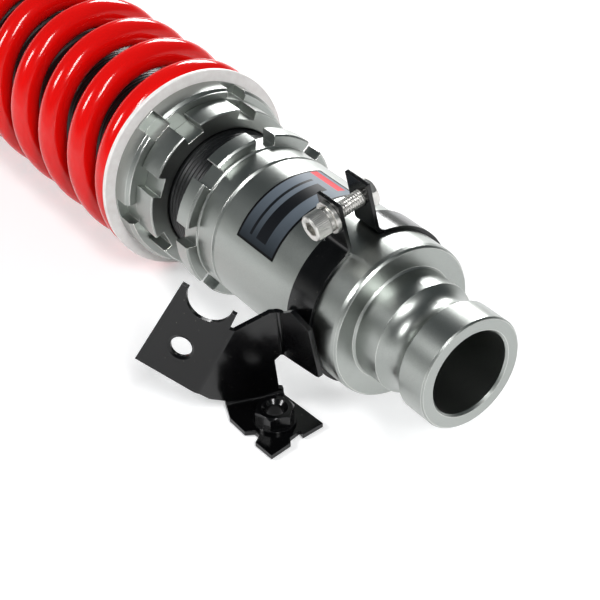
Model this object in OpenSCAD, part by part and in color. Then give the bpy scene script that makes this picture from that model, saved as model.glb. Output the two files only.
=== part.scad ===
// Threaded-body coilover with a fork spigot, lying on a bench.
// Every piece is drawn with the damper upright: its axis is Z, the spigot's open end is at
// zero and the top mount is at the far end. lay_down() then turns it onto its side, so the
// finished part has +X out of the spigot, +Z up, and the hose bracket on the -Y side.
// Angles round the axis start at the top of the lying part and grow towards the bracket.

/* [Lower mount] */
// Diameter of the fork spigot
spigot_d = 43; // [40:0.5:46]
// Bore through the spigot
spigot_bore_d = 32; // [26:0.5:34]
// Depth of the spigot's bore
spigot_bore_l = 58; // [50:0.5:60]
// Length of the spigot, to the shoulder of the body
spigot_l = 36.2; // [34:0.1:42]
// Distance of the pinch-bolt groove's middle from the open end
groove_at = 18.2; // [16:0.1:20]
// Radius of the groove's round bottom
groove_r = 8; // [7:0.1:9]
// Depth of the pinch-bolt groove
groove_depth = 3; // [2:0.1:3.5]
// Wall of the mount's body round the tube
body_wall = 3.5; // [3:0.1:4]
// Length of the mount's body, from the shoulder to the lock ring
body_l = 74.9; // [70:0.1:85]
// Thickness of the wall between the bore and the threaded socket
socket_web = 4; // [3:0.5:6]

/* [Damper tube] */
// Outer diameter of the threaded tube
tube_d = 53; // [52:0.5:54]
// Wall of the tube
tube_wall = 3.5; // [3:0.1:4]
// Length of the tube
tube_l = 200; // [196:1:206]
// Thickness of the tube's closed base
tube_base = 10; // [8:0.5:14]
// Length of the tube's thread inside the mount
thread_grip = 26; // [20:1:36]
// Distance from one groove of the tube's thread to the next
thread_pitch = 2; // [2:0.5:3]
// Depth of the thread, which is drawn as plain grooves
thread_depth = 0.6; // [0.4:0.1:0.8]
// Radial clearance between a thread and the bore that runs on it
thread_fit = 0.07; // [0.05:0.01:0.1]
// Radial clearance of pieces that slide in each other
slide_fit = 0.06; // [0.04:0.01:0.1]
// Gap left between flat faces of pieces that move apart
face_gap = 0.05; // [0.05:0.01:0.2]

/* [Lower lock ring] */
// Length of the plain collar
lock_collar_l = 11.8; // [10:0.1:14]
// Length of the castellated land
lock_land_l = 7.8; // [6:0.1:9]
// Height of both lock rings' lands above the mount's body
lock_land_h = 4.5; // [4:0.1:5]
// Spanner notches in each lock ring
lock_notches = 8; // [6:1:10]
// Width of a spanner notch in the lower lock ring
lock_notch_w = 8.5; // [6:0.1:9]
// Angle of the lower lock ring's first notch
lock_notch_turn = 40.5; // [0:0.5:45]

/* [Perch lock ring] */
// Length of thread left free between the two lock rings
free_thread_l = 17.5; // [17.2:0.1:24]
// Length of the perch's lock ring
perch_lock_l = 11.8; // [10:0.1:14]
// Width of its spanner notches
perch_lock_notch_w = 8; // [6:0.1:9]
// Depth of its spanner notches
perch_lock_notch_depth = 4; // [3:0.1:5]
// Angle of its first notch
perch_lock_notch_turn = 24.3; // [0:0.1:45]

/* [Spring perch] */
// Height of the perch's lands above those of the lock rings
perch_land_h = 3.8; // [3:0.1:4]
// Length of the collar
perch_collar_l = 9.4; // [8:0.1:12]
// Thickness of the nylon isolator between the perch and the spring
isolator_l = 2.1; // [2:0.1:4]
// How far the spring's seats stand out past the coils
seat_rim = 0.1; // [0.1:0.1:1]
// Wall of the pilot that centres the spring
pilot_wall = 3.3; // [3:0.1:4]
// Length of the pilot
perch_pilot_l = 6; // [4:0.5:7]
// Spanner notches in the perch
perch_notches = 6; // [4:1:8]
// Width of a spanner notch in the perch
perch_notch_w = 9; // [7:0.1:10]
// Depth of a spanner notch in the perch
perch_notch_depth = 4.1; // [3:0.1:5]
// Angle of the perch's first notch
perch_notch_turn = 36.8; // [0:0.1:60]

/* [Main spring] */
// Diameter of the spring wire
wire_d = 12; // [11:0.1:12]
// Gap between the pilots and the inside of the coils
pilot_gap = 1.1; // [1.1:0.1:1.4]
// Number of turns, with both closed ends
coil_turns = 8.5; // [7.5:0.25:8.5]
// Length of the spring between its ground ends
spring_l = 187.3; // [187:0.1:200]
// Angle of the lower tip, counted against the bracket side
spring_tip_turn = 60; // [0:1:359]
// Gap between a ground end and its seat
seat_gap = 0.1; // [0.05:0.05:0.3]
// Rings of points in one turn
coil_rings = 24; // [16:1:28]
// Sides of the wire
wire_sides = 6; // [6:1:8]

/* [Piston and rod] */
// Diameter of the piston rod
rod_d = 14; // [12:0.5:15]
// Diameter of the threaded ends of the rod
rod_thread_d = 12; // [10:0.5:12]
// Diameter of the needle's bore in the rod
rod_bore_d = 4; // [3:0.5:5]
// Length of the piston
piston_l = 12.5; // [10:0.5:15]
// Thickness of each shim stack
shim_l = 1.5; // [1:0.1:2]
// Height of the piston nut
piston_nut_l = 7.5; // [6:0.5:9]
// Distance between the piston's rod-side shims and the rod guide at full extension
topout_l = 4; // [3:0.5:6]
// Length of the rod guide
guide_l = 16; // [12:0.5:20]
// Radial gap between the piston's body and the tube
piston_gap = 0.5; // [0.3:0.1:0.8]
// Depth of the groove for the piston's band
piston_groove = 1.4; // [1.2:0.1:1.6]
// Width of the piston's lands on both sides of that groove
piston_land = 2; // [1.5:0.1:2.5]
// Pitch circle of the piston's ports
port_pcd = 26; // [25:0.5:28]
// Diameter of a port
port_d = 4; // [3:0.5:4]
// Width across the flats of the piston nut
piston_nut_af = 17; // [16:1:18]
// Length of the floating piston
gas_piston_l = 14; // [12:0.5:18]
// Distance of the floating piston from the tube's closed base
gas_l = 38; // [30:1:50]

/* [Upper end] */
// Thickness of the upper spring seat's flange
seat_l = 5; // [4:0.5:7]
// Length of the seat's pilot
seat_pilot_l = 8; // [6:0.5:10]
// Diameter of the seat's hub
seat_hub_d = 30; // [28:1:32]
// Height of the seat's hub above its flange
seat_hub_l = 2; // [2:0.5:4]
// Length of the bump stop
bump_l = 28; // [24:1:32]
// Diameter of the bump stop
bump_d = 36; // [30:0.5:40]
// Length of the dust sleeve, from its open end to the seat
sleeve_l = 113.7; // [105:0.1:116]
// Gap between the dust sleeve and the tube
sleeve_gap = 0.8; // [0.6:0.1:0.9]
// Wall of the dust sleeve between its ribs
sleeve_wall = 1; // [0.9:0.1:1.1]
// Height of the sleeve's ribs
sleeve_rib_h = 1.3; // [1:0.1:1.4]
// Distance from one rib of the sleeve to the next
sleeve_rib_pitch = 5; // [4:0.5:8]
// Diameter of the pillow ball
ball_d = 28; // [26:0.5:30]
// Width of the pillow ball
ball_w = 16; // [14:0.5:18]
// Length of the collar below the pillow ball
lower_collar_l = 6; // [6:0.5:8]
// Length of the collar above the pillow ball
upper_collar_l = 4; // [3:0.5:6]
// Outer diameter of the ball's race
race_d = 38; // [36:0.5:40]
// Width of the race
race_w = 14; // [12:0.5:14]
// Diameter of the top mount plate
plate_d = 82; // [80:0.5:83]
// Thickness of the top mount plate
plate_l = 8; // [6:0.5:10]
// Diameter of the plate's hub
hub_d = 44; // [43:0.5:45]
// Pitch circle of the mounting studs
stud_pcd = 68; // [67:0.5:68]
// Number of mounting studs
stud_count = 3; // [2:1:4]
// Diameter of the mounting studs
stud_d = 8; // [8:1:10]
// How much thicker the splined neck is that holds each stud in the plate
stud_neck_grip = 0.5; // [0.3:0.1:0.8]
// Length of a stud above the plate
stud_l = 26; // [22:1:32]
// Height of the rod nut
rod_nut_l = 10; // [8:0.5:12]
// Diameter of the damping knob
knob_d = 16; // [14:0.5:18]
// Length of the damping knob
knob_l = 14; // [12:0.5:18]
// Grip flutes round the damping knob
knob_flutes = 12; // [8:1:16]

/* [Bracket clamp] */
// Distance of the clamp band from the spigot's open end
band_at = 49; // [44:0.1:54]
// Width of the clamp band
band_w = 13; // [12:0.5:16]
// Thickness of the clamp band
band_t = 1.5; // [1.2:0.1:2]
// Angle of the middle of the band's gap
band_gap_turn = 14; // [8:0.5:20]
// Distance between the two ears
ear_gap = 11; // [9:0.1:13]
// Width of the ears
ear_w = 12; // [10:0.5:12]
// Distance of the tip of the ear under the screw's head from the axis
ear_tip = 50.5; // [50:0.5:56]
// Distance of the other ear's tip from the axis
nut_ear_tip = 51.8; // [51:0.1:58]
// Mean radius of the bend from band to ear
ear_bend_r = 3; // [2:0.1:4]
// Distance of the clamp screw from the axis
screw_at = 43.5; // [42:0.5:46]
// Diameter of the clamp screw
screw_d = 6; // [5:0.5:6]
// Thickness of the flat washer under its head
washer_t = 1.6; // [1.2:0.1:1.8]
// Thickness of the spring washer between the two
spring_washer_t = 1.5; // [1.2:0.1:1.6]
// Height of the thin nut at its far end
clamp_nut_l = 3.2; // [3:0.1:5]

/* [Hose bracket] */
// Thickness of the bracket's sheet
sheet_t = 1.8; // [1.5:0.1:2]
// Mean radius of the bracket's bends
bend_r = 2.4; // [1.8:0.1:3]
// Angle of the line where the weld plate touches the band
weld_turn = 102; // [98:0.5:106]
// Distance of the upright's fold from the spigot's open end
upright_at = 63; // [60:0.5:66]
// Turn of the upright's fold from square
upright_turn = -9.5; // [-12:0.5:-6]
// Bend from the weld plate to the upright
upright_bend = -71; // [-80:1:-62]
// Turn of the wing's fold from the upright's fold
wing_turn = -30.4; // [-36:0.1:-26]
// Bend from the upright to the wing
wing_bend = 38; // [30:1:50]
// Clearance of the bracket's foot over the bench while both spring seats lie on it
foot_clearance = 0.9; // [0:0.1:1.5]
// Length of the wing's fold, which sizes the bracket's outlines
wing_fold_l = 33; // [32:0.5:34]
// Diameter of the hole in the wing
wing_hole_d = 8.2; // [8:0.1:9]
// Diameter of that hole's dished rim
wing_rim_d = 10.4; // [10:0.1:11]
// Radius of the half-moon that a hose lies in
moon_r = 8.6; // [7:0.1:9.5]
// Width across the flats of the weld nut
weld_nut_af = 13; // [12:0.5:14]
// Height of the weld nut
weld_nut_l = 6.5; // [6:0.5:8]
// Diameter of the weld nut's thread
weld_thread_d = 6.8; // [6:0.1:7]

/* [Hidden] */
$fn = 96;

// A bend is this much thinner and narrower than its plates, and turns a little into both.
bend_shy = 0.02;
bend_over = 2;

// Places along the axis, from the spigot's open end.
body_end = spigot_l + body_l;
socket_floor = spigot_bore_l + socket_web;
land_at = body_end + lock_collar_l;
lock_end = land_at + lock_land_l;
perch_lock_at = lock_end + free_thread_l;
perch_at = perch_lock_at + perch_lock_l;
isolator_at = perch_at + perch_collar_l;
perch_seat = isolator_at + isolator_l;
tube_end = socket_floor + tube_l;
upper_seat = perch_seat + spring_l + 2 * seat_gap;
tube_floor = socket_floor + tube_base;

// The rod guide, its snap ring and the wiper fill the tube's open end.
wiper_l = 3;
snap_l = 2;
snap_lip = 1;
guide_at = tube_end - wiper_l - snap_l - snap_lip - guide_l;
snap_at = guide_at + guide_l + snap_lip;
rod_shim_end = guide_at - topout_l;
piston_at = rod_shim_end - shim_l - piston_l;
rod_foot = piston_at - shim_l - piston_nut_l - 1;
gas_piston_at = tube_floor + gas_l;

// The stack on the rod's upper thread.
shoulder_at = upper_seat + seat_l - 2;
hub_end = upper_seat + seat_l + seat_hub_l;
ball_at = hub_end + lower_collar_l + ball_w / 2;
nut_at = ball_at + ball_w / 2 + upper_collar_l;
rod_end = nut_at + rod_nut_l + 2;
knob_at = rod_end + 0.3;

tube_r = tube_d / 2;
tube_bore_d = tube_d - 2 * tube_wall;
body_d = tube_d + 2 * body_wall;
lock_d = body_d + 2 * lock_land_h;
perch_collar_d = lock_d + 2 * perch_land_h;
pilot_d = tube_d + 2 * pilot_wall;
coil_d = pilot_d + wire_d + 2 * pilot_gap;
seat_d = coil_d + wire_d + 2 * seat_rim;
thread_bore = tube_r + thread_fit;
rod_r = rod_d / 2;
pilot_r = pilot_d / 2;
lock_floor_r = body_d / 2;
wire_r = wire_d / 2;
coil_r = coil_d / 2;
pitch = spring_l / (coil_turns - 1);
// The part lies on the spring's two seats, with the bracket's foot just clear of the bench.
floor_r = seat_d / 2;

silver = "#b4b7b8";
steel = "#c8cbcc";
zinc = "#d5d6d2";
nylon = "#e6e2e0";
black = "#161617";
red = "#e0140e";
rubber = "#202022";

// ---- helpers -------------------------------------------------------------------------

// Lays the upright damper on its side, spigot towards +X.
module lay_down() {
    rotate([0, -90, 0]) children();
}

// Plain ring from z0 to z1.
module ring(r_out, r_in, z0, z1) {
    translate([0, 0, z0]) difference() {
        cylinder(r = r_out, h = z1 - z0);
        translate([0, 0, -1]) cylinder(r = r_in, h = z1 - z0 + 2);
    }
}

// Solid of revolution from [radius, height] points.
module turned(points) {
    rotate_extrude() polygon(points);
}

// Spanner notches cut from the floor radius outwards.
module notches(count, first, width, floor_radius, z0, z1) {
    for (i = [0 : count - 1]) {
        rotate([0, 0, -(first + i * 360 / count)])
            translate([floor_radius, -width / 2, z0])
                cube([10, width, z1 - z0]);
    }
}

// Hexagon across its flats, standing from zero, with a bored middle.
module hex_nut(across, height, bore) {
    chamfer_r = across / 2 / cos(30);
    difference() {
        intersection() {
            cylinder(r = chamfer_r, h = height, $fn = 6);
            turned([[0, 0], [across / 2, 0], [chamfer_r, 0.9], [chamfer_r, height - 0.9],
                    [across / 2, height], [0, height]]);
        }
        translate([0, 0, -1]) cylinder(r = bore, h = height + 2);
    }
}

// Round-section ring lying in a groove.
module seal_ring(radius, section, z) {
    translate([0, 0, z]) rotate_extrude() translate([radius, 0]) circle(r = section / 2, $fn = 24);
}

// Open ring of square section, as a snap ring.
module snap_ring(r_out, r_in, z0, z1, gap) {
    difference() {
        ring(r_out, r_in, z0, z1);
        translate([r_in - 1, -gap / 2, z0 - 1]) cube([r_out - r_in + 2, gap, z1 - z0 + 2]);
    }
}

// ---- lower mount and tube ----------------------------------------------------------------

module lower_mount() {
    spigot_r = spigot_d / 2;
    bore_r = spigot_bore_d / 2;
    body_r = body_d / 2;
    shoulder_r = body_r - 0.9;
    color(silver) lay_down() difference() {
        turned([
            [bore_r + 0.8, 0], [spigot_r - 0.6, 0], [spigot_r, 0.6],
            [spigot_r, spigot_l - 0.7], [spigot_r + 0.7, spigot_l],
            [shoulder_r, spigot_l], [body_r - 0.25, spigot_l + 0.8], [body_r, spigot_l + 2.3],
            [body_r, body_end - 0.3], [body_r - 0.3, body_end],
            [thread_bore, body_end], [thread_bore, socket_floor], [0, socket_floor],
            [0, spigot_bore_l], [bore_r, spigot_bore_l], [bore_r, 0.8]
        ]);
        rotate_extrude()
            translate([spigot_r - groove_depth + groove_r, groove_at])
                circle(r = groove_r);
    }
}

module lower_lock_ring() {
    collar_r = lock_floor_r;
    land_r = lock_d / 2;
    relief_at = land_at - 1.4;
    color(silver) lay_down() difference() {
        turned([
            [thread_bore, body_end], [collar_r - 1.2, body_end], [collar_r, body_end + 1.4],
            [collar_r, relief_at], [collar_r - 0.5, relief_at + 0.3],
            [collar_r - 0.5, relief_at + 0.9], [collar_r, land_at],
            [land_r - 0.7, land_at], [land_r, land_at + 0.7],
            [land_r, lock_end - 0.4], [land_r - 0.4, lock_end], [thread_bore, lock_end]
        ]);
        notches(lock_notches, lock_notch_turn, lock_notch_w, lock_floor_r, land_at, lock_end + 1);
    }
}

// The thread is a row of plain V grooves from inside the mount to the tube's open end.
module damper_tube() {
    bore_r = tube_bore_d / 2;
    thread_at = body_end - thread_grip;
    grooves = floor((tube_end - 2 - thread_at) / thread_pitch);
    thread = [for (i = [0 : grooves - 1])
        let (z = thread_at + i * thread_pitch)
        each [[tube_r, z], [tube_r - thread_depth, z + thread_pitch / 2]]];
    color(black) lay_down() difference() {
        turned(concat(
            [[3, socket_floor], [tube_r - 1, socket_floor], [tube_r, socket_floor + 1]],
            thread,
            [[tube_r, thread_at + grooves * thread_pitch], [tube_r, tube_end - 1], [tube_r - 1, tube_end],
             [bore_r, tube_end], [bore_r, tube_floor], [3, tube_floor]]
        ));
        ring(bore_r + 1.2, bore_r - 1, snap_at, snap_at + snap_l);
    }
}

module gas_fill_plug() {
    color(zinc) lay_down() {
        translate([0, 0, socket_floor + 2]) cylinder(r = 2.95, h = tube_base - 2);
        translate([0, 0, tube_floor]) cylinder(r = 5, h = 1.2, $fn = 6);
    }
}

module floating_piston() {
    r = tube_bore_d / 2 - slide_fit;
    mid = gas_piston_at + gas_piston_l / 2;
    color(silver) lay_down() difference() {
        turned([
            [0, gas_piston_at + 5], [r - 6, gas_piston_at + 5], [r - 5, gas_piston_at],
            [r - 0.6, gas_piston_at], [r, gas_piston_at + 0.6],
            [r, gas_piston_at + gas_piston_l - 0.6], [r - 0.6, gas_piston_at + gas_piston_l],
            [0, gas_piston_at + gas_piston_l]
        ]);
        ring(r + 1, r - 2.6, mid - 1.8, mid + 1.8);
    }
}

module floating_piston_seal() {
    r = tube_bore_d / 2 - slide_fit;
    color(rubber) lay_down() seal_ring(r - 1.35, 2.4, gas_piston_at + gas_piston_l / 2);
}

// ---- piston and rod ------------------------------------------------------------------------

// The rod's spigot passes through the piston, the shims and the nut.
module piston() {
    r = tube_bore_d / 2 - piston_gap;
    color(silver) lay_down() difference() {
        ring(r, rod_thread_d / 2 - 1 + slide_fit, piston_at, piston_at + piston_l);
        ring(r + 1, r - piston_groove, piston_at + piston_land, piston_at + piston_l - piston_land);
        for (i = [0 : 5]) {
            rotate([0, 0, i * 60]) translate([port_pcd / 2, 0, piston_at - 1])
                cylinder(r = port_d / 2, h = piston_l + 2);
        }
    }
}

module piston_band() {
    r = tube_bore_d / 2;
    groove_floor = r - piston_gap - piston_groove;
    land = piston_land + 2 * face_gap;
    color(rubber) lay_down()
        ring(r - slide_fit, groove_floor + face_gap, piston_at + land, piston_at + piston_l - land);
}

module piston_shims() {
    bore = rod_thread_d / 2 - 1 + slide_fit;
    r = port_pcd / 2 + port_d;
    color(steel) lay_down() {
        ring(r, bore, piston_at - shim_l, piston_at - face_gap);
        ring(r, bore, piston_at + piston_l + face_gap, piston_at + piston_l + shim_l);
    }
}

module piston_nut() {
    color(zinc) lay_down() translate([0, 0, piston_at - shim_l - piston_nut_l])
        hex_nut(piston_nut_af, piston_nut_l - face_gap, rod_thread_d / 2 - 1 + slide_fit);
}

module piston_rod() {
    foot_r = rod_thread_d / 2 - 1;
    top_r = rod_thread_d / 2;
    bore_r = rod_bore_d / 2;
    color(steel) lay_down() turned([
        [bore_r, rod_foot], [foot_r - 0.5, rod_foot], [foot_r, rod_foot + 0.5],
        [foot_r, rod_shim_end], [rod_r - 0.5, rod_shim_end], [rod_r, rod_shim_end + 0.5],
        [rod_r, shoulder_at - 0.5], [rod_r - 0.5, shoulder_at], [top_r, shoulder_at],
        [top_r, rod_end - 0.8], [top_r - 0.8, rod_end], [bore_r, rod_end]
    ]);
}

module topout_bumper() {
    color(rubber) lay_down()
        ring(12, rod_r + 0.1, rod_shim_end + face_gap, guide_at - 0.2);
}

module rod_guide() {
    r = tube_bore_d / 2 - slide_fit;
    top = guide_at + guide_l;
    color(silver) lay_down() difference() {
        ring(r, rod_r + slide_fit, guide_at, top);
        ring(r + 1, r - 2.6, guide_at + 5, guide_at + 8.4);
        ring(rod_r + 4, rod_r - 1, top - 4, top + 1);
    }
}

module guide_seal() {
    color(rubber) lay_down() seal_ring(tube_bore_d / 2 - slide_fit - 1.35, 2.4, guide_at + 6.7);
}

module rod_seal() {
    top = guide_at + guide_l;
    color(rubber) lay_down() ring(rod_r + 3.9, rod_r + 0.08, top - 3.9, top);
}

module guide_snap_ring() {
    r = tube_bore_d / 2;
    color(steel) lay_down() {
        snap_ring(r + 1.1, r - 2.5, snap_at + 0.1, snap_at + snap_l - 0.1, 8);
        ring(r - 3, r - 6, snap_at - snap_lip, snap_at + snap_l);
    }
}

module rod_wiper() {
    color(rubber) lay_down() turned([
        [rod_r + 0.1, tube_end], [rod_r + 2, tube_end - wiper_l],
        [tube_bore_d / 2 - 0.1, tube_end - wiper_l], [tube_bore_d / 2 - 0.1, tube_end - 0.5],
        [rod_r + 3, tube_end - 0.5], [rod_r + 1, tube_end + 1.2]
    ]);
}

// ---- spring and its seats --------------------------------------------------------------------

module perch_lock_ring() {
    r = lock_d / 2;
    top = perch_at - face_gap;
    color(silver) lay_down() difference() {
        turned([
            [thread_bore + 0.6, perch_lock_at], [r - 0.4, perch_lock_at], [r, perch_lock_at + 0.4],
            [r, top - 0.4], [r - 0.4, top], [thread_bore, top], [thread_bore, perch_lock_at + 0.6]
        ]);
        notches(lock_notches, perch_lock_notch_turn, perch_lock_notch_w,
                r - perch_lock_notch_depth, perch_lock_at - 1, perch_at);
    }
}

module spring_perch() {
    collar_r = perch_collar_d / 2;
    pilot_end = perch_seat + perch_pilot_l;
    color(silver) lay_down() difference() {
        turned([
            [thread_bore, perch_at], [collar_r - 1.1, perch_at], [collar_r - 1.1, perch_at + 0.5],
            [collar_r, perch_at + 1.8], [collar_r, isolator_at - 0.2], [collar_r - 0.2, isolator_at],
            [pilot_r, isolator_at], [pilot_r, pilot_end - 0.8], [pilot_r - 0.8, pilot_end],
            [thread_bore, pilot_end]
        ]);
        notches(perch_notches, perch_notch_turn, perch_notch_w,
                collar_r - perch_notch_depth, perch_at - 1, isolator_at - 1);
    }
}

// Nylon ring that keeps the spring's coating off the perch.
module spring_isolator() {
    r = seat_d / 2;
    inner = pilot_r + 0.1;
    color(nylon) lay_down() turned([
        [inner, isolator_at + 0.02], [r - 0.4, isolator_at + 0.02], [r, isolator_at + 0.42],
        [r, perch_seat - 0.4], [r - 0.4, perch_seat], [inner, perch_seat]
    ]);
}

// Height of the wire's centre after u turns: it leaves its seat and meets the other one flat.
function coil_rise(u) =
    u < 1 ? pitch / 2 * u * u
    : u > coil_turns - 1 ? spring_l - pitch / 2 * (coil_turns - u) * (coil_turns - u)
    : pitch * (u - 0.5);

// One point of the wire's surface. The ground ends are cut flat at the two seats.
function wire_point(u, side) =
    let (a = spring_tip_turn + 360 * u)
    let (b = 360 * (side + 0.5) / wire_sides)
    let (r = coil_r + wire_r * cos(b))
    let (z = min(max(coil_rise(u) + wire_r * sin(b), 0), spring_l))
    [r * cos(a), r * sin(a), z];

coil_steps = round(coil_turns * coil_rings);

// Least distance between points of neighbouring turns, measured across the gap.
function turn_gap(i, side, other) =
    norm(wire_point(i / coil_rings, side) - wire_point(i / coil_rings + 1, other));

least_gap = min([
    for (i = [0 : coil_steps - coil_rings])
        for (side = [0 : wire_sides - 1])
            for (other = [0 : wire_sides - 1]) turn_gap(i, side, other)
]);

module main_spring() {
    rings = [for (i = [0 : coil_steps]) [for (s = [0 : wire_sides - 1])
        wire_point(i * coil_turns / coil_steps, s)]];
    points = [for (section = rings) each section];
    function id(i, s) = i * wire_sides + s % wire_sides;
    walls = [for (i = [0 : coil_steps - 1]) for (s = [0 : wire_sides - 1]) each [
        [id(i, s), id(i + 1, s), id(i, s + 1)],
        [id(i, s + 1), id(i + 1, s), id(i + 1, s + 1)]
    ]];
    // Each end is a fan of triangles from a corner that the grinding leaves.
    half = floor(wire_sides / 2);
    foot = [for (s = [1 : wire_sides - 2]) [id(0, 0), id(0, s), id(0, s + 1)]];
    top = [for (s = [half + 1 : half + wire_sides - 2])
        [id(coil_steps, half), id(coil_steps, s + 1), id(coil_steps, s)]];
    color(red) lay_down() translate([0, 0, perch_seat + seat_gap])
        polyhedron(points, concat(walls, foot, top), convexity = 10);
    echo(least_gap_of_the_spring_to_itself = least_gap);
}

module bump_stop() {
    r = bump_d / 2;
    foot = upper_seat - bump_l;
    color("#3a3a3c") lay_down() turned([
        [rod_r + 0.3, foot], [r * 0.62, foot], [r * 0.8, foot + bump_l * 0.12],
        [r * 0.84, foot + bump_l * 0.3], [r * 0.7, foot + bump_l * 0.4],
        [r * 0.95, foot + bump_l * 0.52], [r * 0.98, foot + bump_l * 0.68],
        [r * 0.82, foot + bump_l * 0.78], [r, foot + bump_l * 0.88],
        [r, upper_seat - 0.1], [rod_r + 0.3, upper_seat - 0.1]
    ]);
}

// Ribbed sleeve that slides over the tube. Its neck is held inside the upper seat's pilot.
module dust_sleeve() {
    inner = tube_r + sleeve_gap;
    valley = inner + sleeve_wall;
    r = valley + sleeve_rib_h;
    foot = upper_seat - sleeve_l - 0.3;
    shoulder = upper_seat - seat_pilot_l - 0.4;
    neck_r = pilot_r - 3.2;
    ribs = floor((shoulder - foot - 8) / sleeve_rib_pitch);
    outline = [for (i = [0 : ribs - 1])
        let (z = foot + 6 + i * sleeve_rib_pitch)
        each [[r, z], [valley, z + 0.8], [valley, z + 1.8], [r, z + 2.6]]];
    color(black) lay_down() turned(concat(
        [[inner, foot], [r, foot]],
        outline,
        [[r, shoulder], [neck_r, shoulder], [neck_r, upper_seat - 0.3],
         [neck_r - 2, upper_seat - 0.3], [neck_r - 2, shoulder - 2], [inner, shoulder - 2]]
    ));
}

module upper_spring_seat() {
    flange_r = seat_d / 2;
    hub_r = seat_hub_d / 2;
    flange_end = upper_seat + seat_l;
    pilot_in = pilot_r - 2.8;
    bore = rod_thread_d / 2 + slide_fit;
    color(silver) lay_down() turned([
        [bore, shoulder_at], [rod_r + slide_fit, shoulder_at], [rod_r + slide_fit, upper_seat],
        [pilot_in, upper_seat], [pilot_in, upper_seat - seat_pilot_l],
        [pilot_r - 0.8, upper_seat - seat_pilot_l], [pilot_r, upper_seat - seat_pilot_l + 0.8],
        [pilot_r, upper_seat], [flange_r - 0.3, upper_seat], [flange_r, upper_seat + 0.3],
        [flange_r, flange_end - 0.6], [flange_r - 0.6, flange_end],
        [hub_r + 2, flange_end], [hub_r, hub_end], [bore, hub_end]
    ]);
}

// ---- top mount ---------------------------------------------------------------------------------

module lower_collar() {
    color(zinc) lay_down() ring(10, rod_thread_d / 2 + slide_fit, hub_end, hub_end + lower_collar_l);
}

module pillow_ball() {
    color(steel) lay_down() difference() {
        intersection() {
            translate([0, 0, ball_at]) sphere(r = ball_d / 2);
            translate([0, 0, ball_at - ball_w / 2]) cylinder(r = ball_d, h = ball_w);
        }
        translate([0, 0, ball_at - ball_w]) cylinder(r = rod_thread_d / 2 + slide_fit, h = 2 * ball_w);
    }
}

module bearing_race() {
    color(steel) lay_down() difference() {
        translate([0, 0, ball_at - race_w / 2]) cylinder(r = race_d / 2, h = race_w);
        translate([0, 0, ball_at]) sphere(r = ball_d / 2 + slide_fit);
    }
}

module race_snap_ring() {
    r = race_d / 2;
    color(steel) lay_down()
        snap_ring(r + 0.9, r - 2, ball_at + race_w / 2 + 0.05, ball_at + race_w / 2 + 1.3, 7);
}

module top_mount_plate() {
    r = plate_d / 2;
    hub_r = hub_d / 2;
    bore = race_d / 2 + 0.02;
    base = ball_at - plate_l / 2;
    top = ball_at + plate_l / 2;
    hub_base = ball_at - race_w / 2 - 2;
    hub_top = ball_at + race_w / 2 + 2.2;
    color(black) lay_down() difference() {
        turned([
            [race_d / 2 - 2, hub_base], [hub_r - 1, hub_base], [hub_r, hub_base + 1],
            [hub_r, base], [r - 1, base], [r, base + 1], [r, top - 1], [r - 1, top],
            [hub_r, top], [hub_r, hub_top - 1], [hub_r - 1, hub_top], [bore, hub_top],
            [bore, ball_at - race_w / 2], [race_d / 2 - 2, ball_at - race_w / 2]
        ]);
        ring(race_d / 2 + 1, race_d / 2 - 1, ball_at + race_w / 2, ball_at + race_w / 2 + 1.35);
        for (i = [0 : stud_count - 1]) {
            rotate([0, 0, 60 + i * 360 / stud_count]) translate([stud_pcd / 2, 0, base - 1])
                cylinder(r = stud_d / 2 + stud_neck_grip, h = plate_l + 2);
        }
    }
}

// Each stud has a flat head under the plate, a neck pressed into the plate and a plain pilot tip.
module mount_studs() {
    r = stud_d / 2;
    neck_r = r + stud_neck_grip;
    head_l = 1.8;
    neck_end = head_l + plate_l;
    tip = plate_l + stud_l;
    base = ball_at - plate_l / 2;
    color(zinc) lay_down() for (i = [0 : stud_count - 1]) {
        rotate([0, 0, 60 + i * 360 / stud_count]) translate([stud_pcd / 2, 0, base - head_l])
            turned([
                [0, 0], [neck_r + 1, 0], [neck_r + 1, head_l], [neck_r, head_l],
                [neck_r, neck_end], [r, neck_end], [r, tip], [r - 1, tip + head_l], [0, tip + head_l]
            ]);
    }
}

module upper_collar() {
    z = ball_at + ball_w / 2;
    color(zinc) lay_down() ring(10, rod_thread_d / 2 + slide_fit, z, z + upper_collar_l);
}

module rod_nut() {
    color(zinc) lay_down() translate([0, 0, nut_at])
        hex_nut(19, rod_nut_l, rod_thread_d / 2 + 0.02);
}

module adjuster_needle() {
    r = rod_bore_d / 2 - 0.1;
    color(steel) lay_down() turned([
        [0, rod_foot + 8], [r, rod_foot + 14], [r, knob_at + 0.5], [0, knob_at + 0.5]
    ]);
}

module damping_knob() {
    r = knob_d / 2;
    color(red) lay_down() difference() {
        turned([
            [rod_bore_d / 2 - 0.1, knob_at], [r - 1, knob_at], [r, knob_at + 1],
            [r, knob_at + knob_l - 1.5], [r - 1.5, knob_at + knob_l], [0, knob_at + knob_l],
            [0, knob_at + 0.5], [rod_bore_d / 2 - 0.1, knob_at + 0.5]
        ]);
        for (i = [0 : knob_flutes - 1]) {
            rotate([0, 0, i * 360 / knob_flutes]) translate([r + 0.9, 0, knob_at + 3])
                cylinder(r = 1.6, h = knob_l, $fn = 24);
        }
    }
}

// ---- bracket clamp -------------------------------------------------------------------------------

// Puts children at the gap's middle: X out from the axis, Y away from the bracket.
module at_gap() {
    rotate([0, 0, -band_gap_turn]) children();
}

// Puts children on the clamp screw's axis, Z towards its head.
module at_screw() {
    at_gap() translate([screw_at, 0, band_at + band_w / 2]) rotate([90, 0, 0]) children();
}

ear_mid = (ear_gap + band_t) / 2;
ear_out = ear_gap / 2 + band_t;
band_mid_r = body_d / 2 + band_t / 2;
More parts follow.
